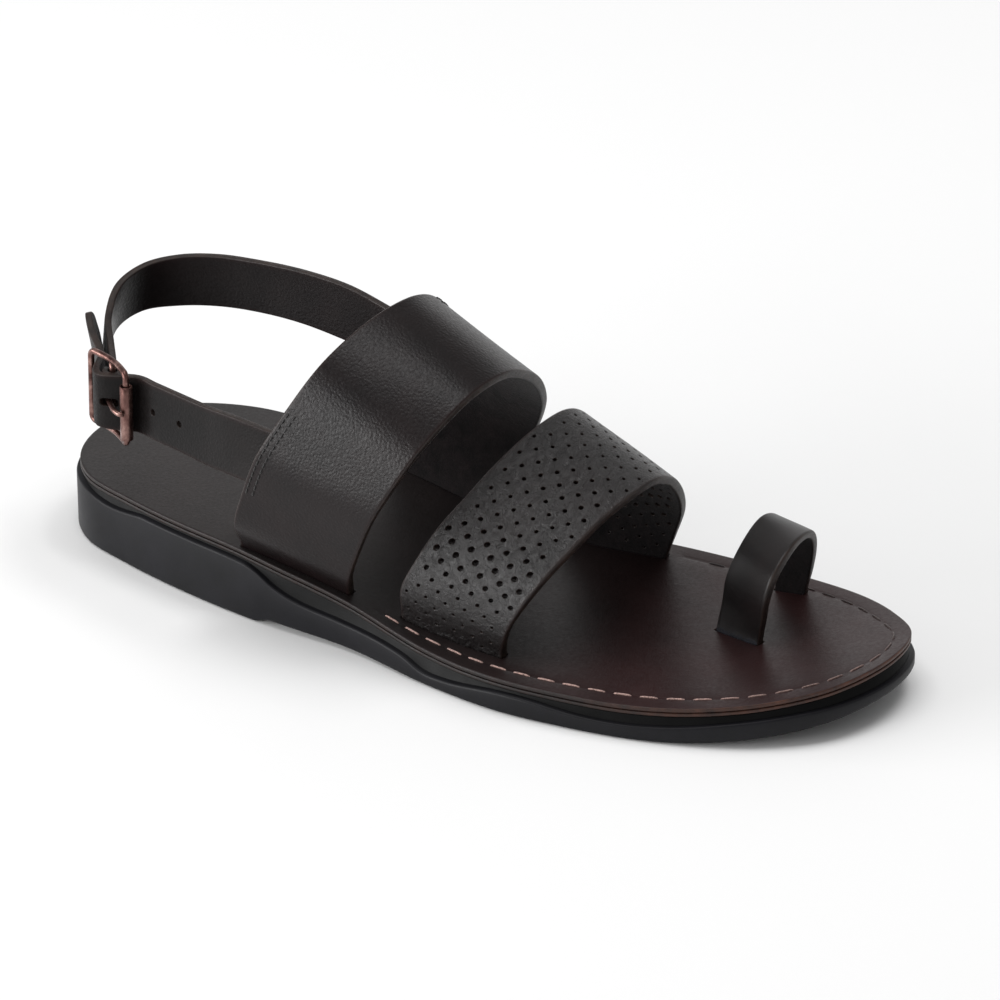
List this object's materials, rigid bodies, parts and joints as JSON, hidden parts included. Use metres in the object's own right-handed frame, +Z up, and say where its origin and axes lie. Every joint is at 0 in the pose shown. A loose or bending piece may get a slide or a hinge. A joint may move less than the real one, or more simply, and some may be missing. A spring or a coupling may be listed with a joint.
{
  "type": "strap_sandal",
  "caption": "Right leather strap sandal with toe loop, perforated vamp strap, wide instep strap, buckled heel strap and a layered rubber and leather sole.",
  "frame": {"origin": "On the ground, under the middle of the box round the whole sandal, which stands on its sole.", "axes": "+X to the outer side of the foot, where the buckle is, +Y from heel to toe, +Z up."},
  "size_m": [0.103, 0.275, 0.0974],
  "materials": {
    "rubber": "satin",
    "leather_edge": "satin",
    "footbed_leather": "satin",
    "strap_leather": "satin",
    "bronze": "brushed"
  },
  "bodies": {
    "root": {"outsole": "rubber", "midsole": "leather_edge", "footbed": "footbed_leather", "upper_instep_and_heel": "strap_leather", "upper_vamp_strap": "strap_leather", "upper_toe_loop": "strap_leather", "buckle_frame": "bronze", "buckle_roller": "bronze", "buckle_prong": "bronze"}
  },
  "joints": []
}
